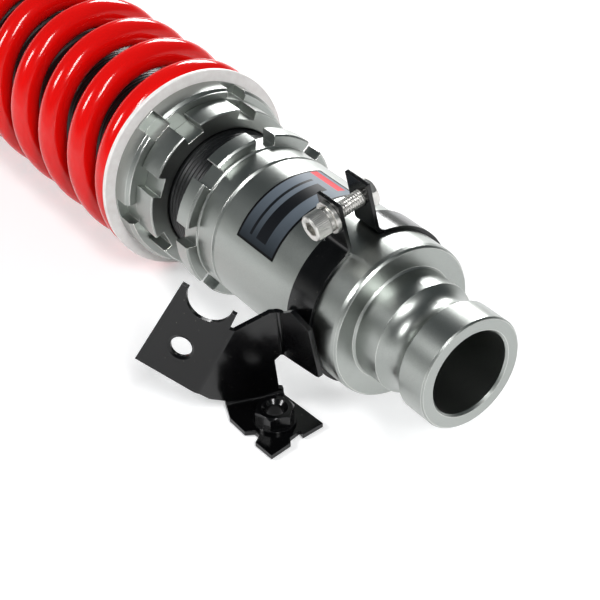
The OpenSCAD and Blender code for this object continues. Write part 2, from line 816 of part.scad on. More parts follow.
// The bend touches both the band and the ear.
bend_across = ear_mid + ear_bend_r;
bend_up = sqrt(pow(band_mid_r + ear_bend_r, 2) - pow(bend_across, 2));
bend_turn = atan2(bend_across, bend_up);

// One end of the band, on the side away from the bracket: the ear, and the bend that leads to it.
module band_end(tip) {
    translate([0, 0, band_at + (band_w - ear_w) / 2]) {
        linear_extrude(ear_w) translate([bend_up, ear_mid - band_t / 2])
            square([tip - bend_up, band_t]);
        translate([bend_up, bend_across, bend_shy]) rotate([0, 0, 180 + bend_turn - bend_over])
            rotate_extrude(angle = 90 - bend_turn + 2 * bend_over)
                translate([ear_bend_r - band_t / 2 + bend_shy, 0])
                    square([band_t - 2 * bend_shy, ear_w - 2 * bend_shy]);
    }
}

module clamp_band() {
    reach = body_d;
    color(black) lay_down() difference() {
        at_gap() union() {
            translate([0, 0, band_at]) linear_extrude(band_w) difference() {
                circle(r = body_d / 2 + band_t);
                circle(r = body_d / 2 + 0.02);
                polygon([[0, 0], [reach * cos(bend_turn), reach * sin(bend_turn)], [reach * 1.2, 0],
                         [reach * cos(bend_turn), -reach * sin(bend_turn)]]);
            }
            band_end(nut_ear_tip);
            mirror([0, 1, 0]) band_end(ear_tip);
        }
        at_screw() translate([0, 0, -ear_gap]) cylinder(r = screw_d / 2 + 0.3, h = 2 * ear_gap);
    }
}

washer_end = ear_out + washer_t;
spring_washer_end = washer_end + spring_washer_t;
screw_head_r = screw_d * 0.83;

// Socket-head screw. Its head is as tall as the thread is wide, and its tail ends in the nut.
module clamp_screw() {
    head_at = spring_washer_end + face_gap;
    tail = -(ear_out + clamp_nut_l);
    r = screw_d / 2;
    head_r = screw_head_r;
    key = screw_d * 0.83;
    color(steel) lay_down() at_screw() difference() {
        turned([
            [0, tail], [r - 0.6, tail], [r, tail + 0.6], [r, head_at],
            [head_r, head_at], [head_r, head_at + screw_d - 0.6], [head_r - 0.6, head_at + screw_d],
            [0, head_at + screw_d]
        ]);
        translate([0, 0, head_at + screw_d - 3.5]) cylinder(r = key / 2 / cos(30), h = 5, $fn = 6);
    }
}

module clamp_washer() {
    color(zinc) lay_down() at_screw()
        ring(screw_d, screw_d / 2 + 0.2, ear_out + face_gap, washer_end);
}

module clamp_spring_washer() {
    color(zinc) lay_down() at_screw()
        snap_ring(screw_head_r - 0.1, screw_d / 2 + 0.2, washer_end + face_gap, spring_washer_end, 0.8);
}

module clamp_nut() {
    color(zinc) lay_down() at_screw() translate([0, 0, -ear_out - clamp_nut_l - face_gap])
        hex_nut(screw_d * 1.67, clamp_nut_l, screw_d / 2 + 0.02);
}

// ---- hose bracket: a folded sheet, drawn on its middle plane ------------------------------------------

// Length of sheet that a bend takes on each side of the sharp fold line.
function setback(angle) = bend_r * tan(abs(angle) / 2);

// A point given in the frame of a fold line.
function on_fold(at, turn, x, y) =
    [at.x + x * cos(turn) - y * sin(turn), at.y + x * sin(turn) + y * cos(turn)];

module sheet(points) {
    translate([0, 0, -sheet_t / 2]) linear_extrude(sheet_t) polygon(points);
}

// The bend along a fold line. Y runs along the line and X crosses it.
// A negative angle folds towards +Z. Children are drawn past the fold, in its own plane.
module fold(at, turn, angle, y0, y1) {
    bend_t = sheet_t - 2 * bend_shy;
    translate([at.x, at.y, 0]) rotate([0, 0, turn]) {
        mirror([0, 0, angle < 0 ? 1 : 0])
            translate([-setback(angle), 0, -bend_r]) rotate([-90, 0, 0])
                rotate([0, 0, -90 - bend_over]) rotate_extrude(angle = abs(angle) + 2 * bend_over)
                    translate([bend_r - bend_t / 2, y0 + bend_shy])
                        square([bend_t, y1 - y0 - 2 * bend_shy]);
        rotate([0, angle, 0]) children();
    }
}

// The weld plate touches the band along one line and stands square to the radius there.
module at_weld_plate() {
    rotate([0, 0, -weld_turn]) translate([body_d / 2 + band_t + sheet_t / 2, 0, 0])
        rotate([0, 90, 0]) rotate([0, 0, 180]) children();
}

// The outlines are drawn for a wing fold 33 long and grow with it.
grown = wing_fold_l / 33;
upright_from = [upright_at, -11.5 * grown];
upright_fold_l = 24 * grown;
wing_from = [17.4, 3] * grown;
foot_y0 = -18 * grown;
foot_y1 = 4.5 * grown;

// Direction of "up" for the lying part, seen from the weld plate and from the upright.
up_at_plate = [0, -sin(weld_turn), cos(weld_turn)];
up_turned = [up_at_plate.x * cos(upright_turn) + up_at_plate.y * sin(upright_turn),
             up_at_plate.y * cos(upright_turn) - up_at_plate.x * sin(upright_turn), up_at_plate.z];
up = [up_turned.x * cos(upright_bend) - up_turned.z * sin(upright_bend), up_turned.y,
      up_turned.x * sin(upright_bend) + up_turned.z * cos(upright_bend)];
// The foot's fold is placed and bent so that the foot lies flat on the bench.
plate_mid_r = body_d / 2 + band_t + sheet_t / 2;
upright_height = plate_mid_r * up_at_plate.z + upright_from.y * up_at_plate.y;
foot_drop = -floor_r + foot_clearance + sheet_t / 2 - upright_height;
foot_from = [up.x, up.y] * foot_drop / (up.x * up.x + up.y * up.y);
foot_turn = atan2(-up.y, -up.x);
foot_bend = -acos(up.z);

module weld_plate() {
    back = -setback(upright_bend);
    sheet([
        on_fold(upright_from, upright_turn, back, 0),
        each [[53.4, -17], [43.5, -14.5], [43.5, 8], [45.6, 9]] * grown,
        on_fold(upright_from, upright_turn, back, upright_fold_l)
    ]);
}

module upright() {
    edge = setback(upright_bend);
    wing_back = -setback(wing_bend);
    foot_back = -setback(foot_bend);
    sheet([
        [edge, upright_fold_l], [edge, 0], [3.4, -0.6] * grown, [6.3, 0.3] * grown,
        on_fold(wing_from, wing_turn, wing_back, 0),
        on_fold(wing_from, wing_turn, wing_back, wing_fold_l),
        [30, 36.7] * grown,
        on_fold(foot_from, foot_turn, foot_back, foot_y0),
        on_fold(foot_from, foot_turn, foot_back, foot_y1),
        [3.7, 43] * grown, [4 * grown, upright_fold_l + 2]
    ]);
}

// The wing has a half-moon for the hose and a dished hole for the clip's screw.
module wing() {
    edge = setback(wing_bend);
    hole_r = wing_hole_d / 2;
    dish = 0.6;
    slope = (wing_rim_d / 2 - hole_r) / dish;
    difference() {
        sheet([[edge, 0], [edge, wing_fold_l], [25.3 * grown, wing_fold_l], [22.9, -6.8] * grown,
               [1.1, -6.8] * grown]);
        translate([11.6 * grown, -6.3 * grown, -sheet_t]) cylinder(r = moon_r, h = 2 * sheet_t);
        translate([12.7 * grown, 18 * grown, 0]) {
            translate([0, 0, -sheet_t]) cylinder(r = hole_r, h = 2 * sheet_t);
            translate([0, 0, sheet_t / 2 - dish]) cylinder(r1 = hole_r, r2 = hole_r + slope, h = 1);
        }
    }
}

nut_place = [16.2, -3.8] * grown;

module foot() {
    edge = setback(foot_bend);
    difference() {
        sheet([
            [edge, foot_y0], each [[9, -18.7], [18.4, -15.9], [19.2, -12.4], [22, -11.5],
            [25.1, -14], [33.9, -10.8], [29.5, -2.2], [26.8, -1.6], [24.2, 2.9],
            [26.7, 3.5], [23, 12.3]] * grown, [edge, foot_y1]
        ]);
        translate([nut_place.x, nut_place.y, -sheet_t]) cylinder(r = 4.5, h = 2 * sheet_t);
    }
}

// Runs children in the plane of the foot.
module at_foot() {
    at_weld_plate()
        translate([upright_from.x, upright_from.y, 0]) rotate([0, 0, upright_turn])
            rotate([0, upright_bend, 0])
                translate([foot_from.x, foot_from.y, 0]) rotate([0, 0, foot_turn])
                    rotate([0, foot_bend, 0]) children();
}

module hose_bracket() {
    color(black) lay_down() at_weld_plate() {
        weld_plate();
        fold(upright_from, upright_turn, upright_bend, 0, upright_fold_l) {
            upright();
            fold(wing_from, wing_turn, wing_bend, 0, wing_fold_l) wing();
            fold(foot_from, foot_turn, foot_bend, foot_y0, foot_y1) foot();
        }
    }
}

// The nut stands on a round flange, and its thread has a wide countersink.
module bracket_weld_nut() {
    thread_r = weld_thread_d / 2;
    color(black) lay_down() at_foot() translate([nut_place.x, nut_place.y, sheet_t / 2]) difference() {
        union() {
            rotate([0, 0, 30]) hex_nut(weld_nut_af, weld_nut_l, thread_r - 1);
            cylinder(r = weld_nut_af / 2 + 1.4, h = 1.2);
        }
        translate([0, 0, -1]) cylinder(r = thread_r, h = weld_nut_l + 2);
        translate([0, 0, weld_nut_l - 1.4]) cylinder(r1 = thread_r, r2 = thread_r + 1.5, h = 1.5);
    }
}

lower_mount();
lower_lock_ring();
damper_tube();
gas_fill_plug();
floating_piston();
floating_piston_seal();
piston();
piston_band();
piston_shims();
piston_nut();
piston_rod();
topout_bumper();
rod_guide();
guide_seal();
rod_seal();
guide_snap_ring();
rod_wiper();
perch_lock_ring();
spring_perch();
spring_isolator();
main_spring();
bump_stop();
dust_sleeve();
upper_spring_seat();
lower_collar();
pillow_ball();
bearing_race();
race_snap_ring();
top_mount_plate();
mount_studs();
upper_collar();
rod_nut();
adjuster_needle();
damping_knob();
clamp_band();
hose_bracket();
bracket_weld_nut();
clamp_screw();
clamp_washer();
clamp_spring_washer();
clamp_nut();
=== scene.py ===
import math

import bmesh
import bpy
from mathutils import Matrix, Vector


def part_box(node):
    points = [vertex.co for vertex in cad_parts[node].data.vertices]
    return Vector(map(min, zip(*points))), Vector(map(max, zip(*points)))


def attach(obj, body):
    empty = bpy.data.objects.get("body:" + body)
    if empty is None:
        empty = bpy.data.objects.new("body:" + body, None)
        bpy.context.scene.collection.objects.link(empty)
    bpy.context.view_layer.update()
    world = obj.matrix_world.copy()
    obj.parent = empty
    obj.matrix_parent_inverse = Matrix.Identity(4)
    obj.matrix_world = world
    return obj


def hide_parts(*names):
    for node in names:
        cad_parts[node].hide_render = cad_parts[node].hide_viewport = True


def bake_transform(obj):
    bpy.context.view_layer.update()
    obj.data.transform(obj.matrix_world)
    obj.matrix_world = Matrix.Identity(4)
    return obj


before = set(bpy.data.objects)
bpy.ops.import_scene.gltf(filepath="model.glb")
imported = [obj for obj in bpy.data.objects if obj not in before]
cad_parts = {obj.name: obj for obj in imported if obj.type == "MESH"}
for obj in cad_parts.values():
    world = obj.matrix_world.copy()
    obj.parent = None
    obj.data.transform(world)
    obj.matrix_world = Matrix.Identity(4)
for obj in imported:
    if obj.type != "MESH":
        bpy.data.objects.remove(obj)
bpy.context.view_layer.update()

# ---- Studio ----------------------------------------------------------------------------------
# The coilover lies on a white bench under a dark ceiling. A broad window behind it lights the
# tops of the machined parts, and two smaller lamps put glints on the spring's coils.

BENCH = -0.043


def paint(hex_colour):
    """An sRGB hex colour as linear red, green, blue and alpha."""
    parts = [int(hex_colour[i:i + 2], 16) / 255 for i in (0, 2, 4)]
    return tuple(c / 12.92 if c <= 0.04045 else ((c + 0.055) / 1.055) ** 2.4 for c in parts) + (1.0,)


def add(tree, kind, sockets=(), **settings):
    """A new node with its settings. A socket takes a value, or another node's output."""
    node = tree.nodes.new(kind)
    for name, value in settings.items():
        setattr(node, name, value)
    for key, value in dict(sockets).items():
        if isinstance(value, bpy.types.NodeSocket):
            tree.links.new(value, node.inputs[key])
        else:
            node.inputs[key].default_value = value
    return node


# The bench is a matt white sheet. It is white to the eye and in reflections, and keeps shadows.
bench_white = bpy.data.materials.new("bench_white")
bench_white.use_nodes = True
nt = bench_white.node_tree
nt.nodes.clear()
rays = add(nt, "ShaderNodeLightPath")
sheet_shader = add(nt, "ShaderNodeBsdfDiffuse", {"Color": paint("E9E9EA")})
lift = add(nt, "ShaderNodeEmission", {"Color": (1, 1, 1, 1), "Strength": 0.4})
lifted = add(nt, "ShaderNodeAddShader", {0: sheet_shader.outputs[0], 1: lift.outputs[0]})
seen = add(nt, "ShaderNodeMath", {0: rays.outputs["Is Camera Ray"], 1: rays.outputs["Is Glossy Ray"]},
           operation="MAXIMUM")
seen = add(nt, "ShaderNodeMath", {0: seen.outputs[0], 1: rays.outputs["Is Transmission Ray"]},
           operation="MAXIMUM")
bench_mix = add(nt, "ShaderNodeMixShader", {0: seen.outputs[0], 1: sheet_shader.outputs[0],
                                            2: lifted.outputs[0]})
add(nt, "ShaderNodeOutputMaterial", {"Surface": bench_mix.outputs[0]})

bench_mesh = bpy.data.meshes.new("bench")
bench_mesh.from_pydata([(-4, -4, BENCH), (4, -4, BENCH), (4, 4, BENCH), (-4, 4, BENCH)], [], [(0, 1, 2, 3)])
bench_mesh.materials.append(bench_white)
bench = bpy.data.objects.new("bench", bench_mesh)
bpy.context.collection.objects.link(bench)

# Room: white near the horizon, slate grey overhead.
room = bpy.data.worlds.new("room")
bpy.context.scene.world = room
room.use_nodes = True
nt = room.node_tree
nt.nodes.clear()
where = add(nt, "ShaderNodeTexCoord")
height = add(nt, "ShaderNodeSeparateXYZ", {0: where.outputs["Generated"]})
ceiling = add(nt, "ShaderNodeMapRange", {"Value": height.outputs["Z"], "From Min": 0.02, "From Max": 0.3},
              interpolation_type="SMOOTHSTEP")
shade = add(nt, "ShaderNodeMix", {0: ceiling.outputs[0], 6: paint("E4E6E4"), 7: paint("4C5254")},
            data_type="RGBA")
sky = add(nt, "ShaderNodeBackground", {"Color": shade.outputs[2], "Strength": 1.0})
add(nt, "ShaderNodeOutputWorld", {"Surface": sky.outputs[0]})


def lamp(name, azimuth, elevation, distance, width, height, watts, aim=(-0.12, 0, 0)):
    """A soft rectangular lamp that faces the coilover."""
    data = bpy.data.lights.new(name, "AREA")
    data.shape = "RECTANGLE"
    data.size = width
    data.size_y = height
    data.energy = watts
    a, e = math.radians(azimuth), math.radians(elevation)
    away = Vector((math.cos(a) * math.cos(e), math.sin(a) * math.cos(e), math.sin(e)))
    obj = bpy.data.objects.new(name, data)
    obj.location = Vector(aim) + away * distance
    obj.rotation_euler = away.to_track_quat("Z", "Y").to_euler()
    bpy.context.collection.objects.link(obj)


lamp("window", 134, 26, 1.3, 0.6, 0.4, 15)
lamp("front_lamp", -20, 46, 1.2, 0.16, 0.55, 8)
lamp("side_lamp", -105, 40, 1.2, 0.26, 0.3, 6)

camera_data = bpy.data.cameras.new("camera")
camera_data.sensor_width = 36
camera_data.sensor_fit = "HORIZONTAL"
camera_data.lens = 88.13
camera = bpy.data.objects.new("camera", camera_data)
camera.location = (0.28003, -0.27411, 0.30122)
camera.rotation_euler = (math.radians(55.04), 0, math.radians(54.0))
bpy.context.collection.objects.link(camera)
bpy.context.scene.camera = camera
bpy.context.scene.view_settings.view_transform = "Standard"

# ---- Lower mount and spanner rings -----------------------------------------------------------
# Turned from aluminium bar, bead blasted and clear anodised: a fine satin grey. The corners are
# chamfered after blasting, and every edge is painted near-white as a thin bright line: partly the
# bare cut metal, partly a painted highlight. The grain is drawn at 0.25 mm.


def give(material, *names):
    """Gives CAD nodes a finish."""
    for name in names:
        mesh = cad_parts[name].data
        mesh.materials.clear()
        mesh.materials.append(material)


def edge_share(tree, width):
    """How far the surface turns within this width: 0 on a flat face, up to 1 on a corner."""
    rounded = add(tree, "ShaderNodeBevel", {"Radius": width}, samples=4)
    flat = add(tree, "ShaderNodeNewGeometry")
    same = add(tree, "ShaderNodeVectorMath", {0: rounded.outputs[0], 1: flat.outputs["Normal"]},
               operation="DOT_PRODUCT")
    share = add(tree, "ShaderNodeMapRange", {"Value": same.outputs["Value"], "From Min": 0.995,
                                             "From Max": 0.86})
    return rounded.outputs[0], share.outputs[0]


blasted_aluminium = bpy.data.materials.new("blasted_anodised_aluminium")
blasted_aluminium.use_nodes = True
nt = blasted_aluminium.node_tree
nt.nodes.clear()
place = add(nt, "ShaderNodeTexCoord").outputs["Object"]
corner, edge_glint_mask = edge_share(nt, 0.0004)
grain = add(nt, "ShaderNodeTexNoise", {"Vector": place, "Scale": 4000, "Detail": 2.0}).outputs[0]
cloud = add(nt, "ShaderNodeTexNoise", {"Vector": place, "Scale": 60, "Detail": 3.0}).outputs[0]
tone = add(nt, "ShaderNodeMapRange", {"Value": grain, "From Min": 0.3, "From Max": 0.7}).outputs[0]
grey = add(nt, "ShaderNodeMix", {0: tone, 6: paint("909391"), 7: paint("ACAFAB")}, data_type="RGBA").outputs[2]
grey = add(nt, "ShaderNodeMix", {0: cloud, 6: grey, 7: paint("A2A6A2")}, data_type="RGBA").outputs[2]
# Every corner is painted near-white: partly the bare cut metal, partly a painted highlight line along the edge.
grey = add(nt, "ShaderNodeMix", {0: edge_glint_mask, 6: grey, 7: paint("F0F0EC")}, data_type="RGBA").outputs[2]
rough = add(nt, "ShaderNodeMapRange", {"Value": grain, "To Min": 0.27, "To Max": 0.37}).outputs[0]
rough = add(nt, "ShaderNodeMix", {0: edge_glint_mask, 2: rough, 3: 0.2}).outputs[0]
bump = add(nt, "ShaderNodeBump", {"Strength": 0.25, "Distance": 0.00003, "Height": grain, "Normal": corner})
skin = add(nt, "ShaderNodeBsdfPrincipled", {"Base Color": grey, "Metallic": 1.0, "Roughness": rough,
                                            "Normal": bump.outputs[0]})
add(nt, "ShaderNodeOutputMaterial", {"Surface": skin.outputs[0]})

give(blasted_aluminium, "lower_mount", "lower_lock_ring", "perch_lock_ring", "spring_perch",
     "upper_spring_seat", "floating_piston", "piston", "rod_guide")

# ---- Sticker on the mount --------------------------------------------------------------------
# A printed vinyl sticker wrapped round the mount's body, with a clear gloss face. It is plain:
# a black border, a dark blue-grey field, two dark bars and a red stripe at the far end. The field
# is painted paler toward the far end, a painted reflection of the window.

STICKER_R = 0.03006
STICKER_X = (-0.0773, -0.0998)
STICKER_TURN = (62.8, -22.0)

sticker_mesh = bpy.data.meshes.new("mount_sticker")
bm = bmesh.new()
rows = []
for i in range(65):
    turn = math.radians(STICKER_TURN[0] + (STICKER_TURN[1] - STICKER_TURN[0]) * i / 64)
    row = []
    for j in range(9):
        x = STICKER_X[0] + (STICKER_X[1] - STICKER_X[0]) * j / 8
        row.append(bm.verts.new((x, -STICKER_R * math.sin(turn), STICKER_R * math.cos(turn))))
    rows.append(row)
print_map = bm.loops.layers.uv.new("print")
for i in range(64):
    for j in range(8):
        face = bm.faces.new((rows[i][j], rows[i + 1][j], rows[i + 1][j + 1], rows[i][j + 1]))
        face.smooth = True
        for loop, (a, b) in zip(face.loops, ((i, j), (i + 1, j), (i + 1, j + 1), (i, j + 1))):
            loop[print_map].uv = (a / 64, b / 8)
bmesh.ops.recalc_face_normals(bm, faces=bm.faces)
if bm.faces[0].normal.dot(bm.faces[0].calc_center_median() * Vector((0, 1, 1))) < 0:
    bmesh.ops.reverse_faces(bm, faces=bm.faces)
bm.to_mesh(sticker_mesh)
bm.free()
mount_sticker = bpy.data.objects.new("mount_sticker", sticker_mesh)
bpy.context.collection.objects.link(mount_sticker)

vinyl_print = bpy.data.materials.new("gloss_vinyl_print")
vinyl_print.use_nodes = True
nt = vinyl_print.node_tree
nt.nodes.clear()
uv = add(nt, "ShaderNodeUVMap", uv_map="print").outputs[0]
at = add(nt, "ShaderNodeSeparateXYZ", {0: uv})
along, across = at.outputs["X"], at.outputs["Y"]


def within(tree, value, low, high):
    """1 where the value lies between low and high."""
    above = add(tree, "ShaderNodeMath", {0: value, 1: low}, operation="GREATER_THAN").outputs[0]
    below = add(tree, "ShaderNodeMath", {0: value, 1: high}, operation="LESS_THAN").outputs[0]
    return add(tree, "ShaderNodeMath", {0: above, 1: below}, operation="MULTIPLY").outputs[0]


def both(tree, one, other):
    """1 where both are 1."""
    return add(tree, "ShaderNodeMath", {0: one, 1: other}, operation="MULTIPLY").outputs[0]


field = both(nt, within(nt, along, 0.022, 0.978), within(nt, across, 0.045, 0.955))
bars = both(nt, within(nt, along, 0.08, 0.8), within(nt, across, 0.3, 0.56))
thin_bar = both(nt, within(nt, along, 0.08, 0.8), within(nt, across, 0.68, 0.74))
bars = add(nt, "ShaderNodeMath", {0: bars, 1: thin_bar}, operation="MAXIMUM").outputs[0]
stripe = both(nt, within(nt, along, 0.87, 0.945), within(nt, across, 0.2, 0.955))
# The dark field is painted paler toward the far end: a painted reflection of the window.
field_painted_reflection = add(nt, "ShaderNodeMix", {0: along, 6: paint("1C2126"), 7: paint("7F8A96")},
           data_type="RGBA").outputs[2]
ink = add(nt, "ShaderNodeMix", {0: field, 6: paint("0B0B0D"), 7: field_painted_reflection}, data_type="RGBA").outputs[2]
ink = add(nt, "ShaderNodeMix", {0: bars, 6: ink, 7: paint("14161A")}, data_type="RGBA").outputs[2]
ink = add(nt, "ShaderNodeMix", {0: stripe, 6: ink, 7: paint("E2132A")}, data_type="RGBA").outputs[2]
skin = add(nt, "ShaderNodeBsdfPrincipled", {"Base Color": ink, "Roughness": 0.42,
                                            "Specular IOR Level": 0.08})
add(nt, "ShaderNodeOutputMaterial", {"Surface": skin.outputs[0]})
sticker_mesh.materials.append(vinyl_print)
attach(mount_sticker, "lower_mount")

# ---- Damper tube -----------------------------------------------------------------------------
# A steel tube with a rolled thread of 2 mm pitch over its whole length, black anodised. The rings
# run on the thread, so its crests are a little shinier than its roots.


def turned(name, outline, sides):
    """A closed solid of revolution round X, from its outline's (x, radius) points.

    A radius is a number, or a function of the turn."""
    mesh = bpy.data.meshes.new(name)
    bm = bmesh.new()
    turns = [2 * math.pi * k / sides for k in range(sides)]
    rows = []
    for x, r in outline:
        if r == 0:
            rows.append([bm.verts.new((x, 0, 0))] * sides)
        else:
            reach = [r(turn) if callable(r) else r for turn in turns]
            rows.append([bm.verts.new((x, far * math.sin(turn), far * math.cos(turn)))
                         for turn, far in zip(turns, reach)])
    for one, two in zip(rows, rows[1:] + rows[:1]):
        for k in range(sides):
            corners = []
            for v in (one[k], one[(k + 1) % sides], two[(k + 1) % sides], two[k]):
                if v not in corners:
                    corners.append(v)
            if len(corners) > 2:
                bm.faces.new(corners)
    bmesh.ops.recalc_face_normals(bm, faces=bm.faces)
    for face in bm.faces:
        face.smooth = True
    bm.to_mesh(mesh)
    bm.free()
    mesh.set_sharp_from_angle(angle=math.radians(35))
    obj = bpy.data.objects.new(name, mesh)
    bpy.context.collection.objects.link(obj)
    return obj


def steps(start, end, step):
    """Evenly spaced places from start to end, about a step apart, with both ends."""
    count = max(1, round(abs(end - start) / step))
    return [start + (end - start) * i / count for i in range(count + 1)]


# A V thread cut into everything outside the core radius, fading out at both ends.
thread_tree = bpy.data.node_groups.new("cut_thread", "GeometryNodeTree")
face = thread_tree.interface
face.new_socket("Geometry", in_out="INPUT", socket_type="NodeSocketGeometry")
for name, value in (("Pitch", 0.002), ("Depth", 0.0009), ("Core radius", 0.02), ("From", -0.2), ("To", 0.0),
                    ("Fade", 0.002)):
    face.new_socket(name, in_out="INPUT", socket_type="NodeSocketFloat").default_value = value
face.new_socket("Material", in_out="INPUT", socket_type="NodeSocketMaterial")
face.new_socket("Geometry", in_out="OUTPUT", socket_type="NodeSocketGeometry")
given = add(thread_tree, "NodeGroupInput")


def sum_of(tree, operation, first, second=None):
    """One step of arithmetic on numbers or sockets."""
    sockets = {0: first} if second is None else {0: first, 1: second}
    return add(tree, "ShaderNodeMath", sockets, operation=operation).outputs[0]


place = add(thread_tree, "ShaderNodeSeparateXYZ", {0: add(thread_tree, "GeometryNodeInputPosition").outputs[0]})
px, py, pz = place.outputs
radius = sum_of(thread_tree, "SQRT", sum_of(thread_tree, "ADD", sum_of(thread_tree, "MULTIPLY", py, py),
                                            sum_of(thread_tree, "MULTIPLY", pz, pz)))
lead = sum_of(thread_tree, "ADD", sum_of(thread_tree, "DIVIDE", px, given.outputs["Pitch"]),
              sum_of(thread_tree, "DIVIDE", sum_of(thread_tree, "ARCTAN2", py, pz), 2 * math.pi))
wave = sum_of(thread_tree, "MULTIPLY", sum_of(thread_tree, "PINGPONG", lead, 0.5), 2.0)
fade_in = sum_of(thread_tree, "DIVIDE", sum_of(thread_tree, "SUBTRACT", px, given.outputs["From"]),
                 given.outputs["Fade"])
fade_out = sum_of(thread_tree, "DIVIDE", sum_of(thread_tree, "SUBTRACT", given.outputs["To"], px),
                  given.outputs["Fade"])
fade = add(thread_tree, "ShaderNodeClamp", {0: sum_of(thread_tree, "MINIMUM", fade_in, fade_out)}).outputs[0]
outside = sum_of(thread_tree, "GREATER_THAN", radius, given.outputs["Core radius"])
depth = sum_of(thread_tree, "MULTIPLY", sum_of(thread_tree, "MULTIPLY", wave, given.outputs["Depth"]),
               sum_of(thread_tree, "MULTIPLY", fade, outside))
shrink = sum_of(thread_tree, "DIVIDE", sum_of(thread_tree, "SUBTRACT", radius, depth),
                sum_of(thread_tree, "MAXIMUM", radius, 1e-6))
moved = add(thread_tree, "ShaderNodeCombineXYZ", {0: px, 1: sum_of(thread_tree, "MULTIPLY", py, shrink),
                                                  2: sum_of(thread_tree, "MULTIPLY", pz, shrink)})
cut = add(thread_tree, "GeometryNodeSetPosition", {"Geometry": given.outputs["Geometry"],
                                                   "Position": moved.outputs[0]})
real = add(thread_tree, "GeometryNodeRealizeInstances", {0: cut.outputs[0]})
coated = add(thread_tree, "GeometryNodeSetMaterial", {"Geometry": real.outputs[0],
                                                      "Material": given.outputs["Material"]})
add(thread_tree, "NodeGroupOutput", {0: coated.outputs[0]})


def grow(obj, tree, **inputs):
    """Runs a tree of geometry nodes on an object and keeps the result as its plain mesh."""
    step = obj.modifiers.new(tree.name, "NODES")
    step.node_group = tree
    for item in tree.interface.items_tree:
        if item.item_type == "SOCKET" and item.in_out == "INPUT" and item.name in inputs:
            step[item.identifier] = inputs[item.name]
    bpy.context.view_layer.update()
    made = bpy.data.meshes.new_from_object(obj.evaluated_get(bpy.context.evaluated_depsgraph_get()))
    obj.modifiers.clear()
    obj.data = made
    return obj


black_thread = bpy.data.materials.new("black_anodised_thread")
black_thread.use_nodes = True
nt = black_thread.node_tree
nt.nodes.clear()
place = add(nt, "ShaderNodeTexCoord").outputs["Object"]
grain = add(nt, "ShaderNodeTexNoise", {"Vector": place, "Scale": 900, "Detail": 3.0}).outputs[0]
tone = add(nt, "ShaderNodeMapRange", {"Value": grain, "From Min": 0.35, "From Max": 0.7}).outputs[0]
black = add(nt, "ShaderNodeMix", {0: tone, 6: paint("08090A"), 7: paint("131415")}, data_type="RGBA").outputs[2]
rough = add(nt, "ShaderNodeMapRange", {"Value": grain, "To Min": 0.3, "To Max": 0.42}).outputs[0]
skin = add(nt, "ShaderNodeBsdfPrincipled", {"Base Color": black, "Roughness": rough,
                                            "Specular IOR Level": 0.4})
add(nt, "ShaderNodeOutputMaterial", {"Surface": skin.outputs[0]})

low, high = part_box("damper_tube")
tube_r = high.z
bore_r = 0.023
outline = [(high.x - 0.0002, 0.003), (high.x, 0.004), (high.x, tube_r - 0.001), (high.x - 0.001, tube_r)]
outline += [(x, tube_r) for x in steps(-0.0851, low.x + 0.0012, 0.00036)]
outline += [(low.x, tube_r - 0.001), (low.x, bore_r), (high.x - 0.01, bore_r), (high.x - 0.01, 0.003)]
tube = turned("threaded_tube", outline, 112)
grow(tube, thread_tree, Pitch=0.002, Depth=0.0006, From=low.x + 0.0015, To=-0.0851, Fade=0.002,
     Material=black_thread, **{"Core radius": 0.026})
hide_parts("damper_tube")
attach(tube, "damper")

# ---- Main spring -----------------------------------------------------------------------------
# Wound cold from 12 mm silicon-chrome wire, with both ends closed and ground flat, and powder
# coated in gloss red. The coat flows like a thick paint, so its face is smooth with a faint peel.

spring_tree = bpy.data.node_groups.new("wind_spring", "GeometryNodeTree")
face = spring_tree.interface
for name, value in (("Wire radius", 0.006), ("Coil radius", 0.0369), ("Turns", 8.5), ("Length", 0.1873),
                    ("Seat", -0.1716), ("Tip turn", 1.0472)):
    face.new_socket(name, in_out="INPUT", socket_type="NodeSocketFloat").default_value = value
for name, value in (("Rings", 544), ("Sides", 40)):
    face.new_socket(name, in_out="INPUT", socket_type="NodeSocketInt").default_value = value
face.new_socket("Material", in_out="INPUT", socket_type="NodeSocketMaterial")
face.new_socket("Geometry", in_out="OUTPUT", socket_type="NodeSocketGeometry")
given = add(spring_tree, "NodeGroupInput")
turns = given.outputs["Turns"]
line = add(spring_tree, "GeometryNodeMeshLine", {"Count": sum_of(spring_tree, "ADD", given.outputs["Rings"], 1.0)})
share = sum_of(spring_tree, "DIVIDE", add(spring_tree, "GeometryNodeInputIndex").outputs[0],
               given.outputs["Rings"])
wound = sum_of(spring_tree, "MULTIPLY", share, turns)
pitch = sum_of(spring_tree, "DIVIDE", given.outputs["Length"], sum_of(spring_tree, "SUBTRACT", turns, 1.0))
# The first and the last turn lie flat and gather pitch as they leave their seat.
start_lag = sum_of(spring_tree, "MAXIMUM", sum_of(spring_tree, "SUBTRACT", 1.0, wound), 0.0)
end_lag = sum_of(spring_tree, "MAXIMUM",
                 sum_of(spring_tree, "SUBTRACT", wound, sum_of(spring_tree, "SUBTRACT", turns, 1.0)), 0.0)
lag = sum_of(spring_tree, "SUBTRACT", sum_of(spring_tree, "MULTIPLY", start_lag, start_lag),
             sum_of(spring_tree, "MULTIPLY", end_lag, end_lag))
risen = sum_of(spring_tree, "ADD", sum_of(spring_tree, "SUBTRACT", wound, 0.5),
               sum_of(spring_tree, "MULTIPLY", lag, 0.5))
rise = sum_of(spring_tree, "MULTIPLY", risen, pitch)
angle = sum_of(spring_tree, "ADD", given.outputs["Tip turn"], sum_of(spring_tree, "MULTIPLY", wound, 2 * math.pi))
centre = add(spring_tree, "ShaderNodeCombineXYZ", {
    0: sum_of(spring_tree, "SUBTRACT", given.outputs["Seat"], rise),
    1: sum_of(spring_tree, "MULTIPLY", given.outputs["Coil radius"], sum_of(spring_tree, "SINE", angle)),
    2: sum_of(spring_tree, "MULTIPLY", given.outputs["Coil radius"], sum_of(spring_tree, "COSINE", angle))})
laid = add(spring_tree, "GeometryNodeSetPosition", {"Geometry": line.outputs[0], "Position": centre.outputs[0]})
